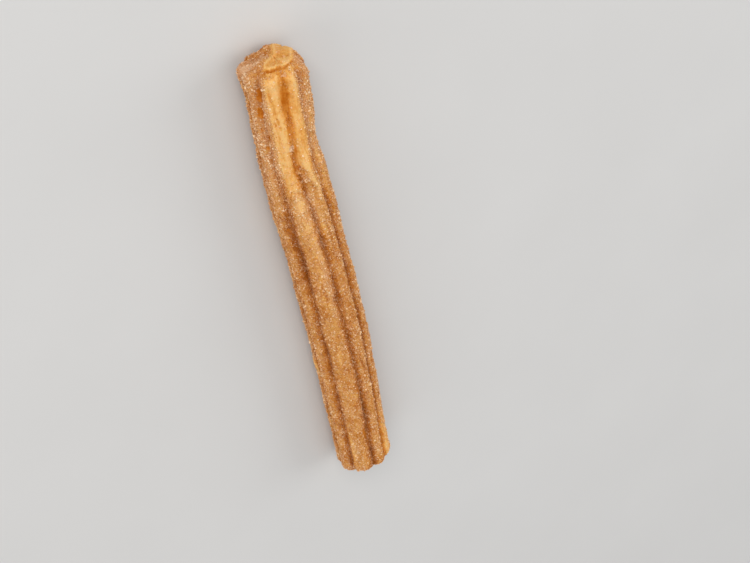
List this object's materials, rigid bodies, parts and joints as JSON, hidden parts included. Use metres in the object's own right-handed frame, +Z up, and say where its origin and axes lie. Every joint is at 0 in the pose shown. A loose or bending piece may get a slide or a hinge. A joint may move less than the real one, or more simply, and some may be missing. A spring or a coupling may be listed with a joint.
{
  "type": "churro",
  "caption": "Cinnamon-sugar churro, a ridged golden-brown stick of fried dough with a cut and pinched end, lying on its side.",
  "frame": {"origin": "on the floor, under the middle of the churro's bounding box", "axes": "+Z up, away from the floor; +Y along the churro, towards the end that the picture shows; +X to the right of the churro as the picture shows it"},
  "size_m": [0.0244, 0.1912, 0.0221],
  "materials": {
    "crust": "golden-brown fried dough, matte with a faint sheen of oil on its bare crests, under a coat of cinnamon sugar",
    "sugar": "clear to white granulated sugar crystals with small sparkles",
    "cinnamon": "reddish-brown ground cinnamon, matte"
  },
  "bodies": {
    "root": {"churro": "crust"}
  },
  "joints": []
}
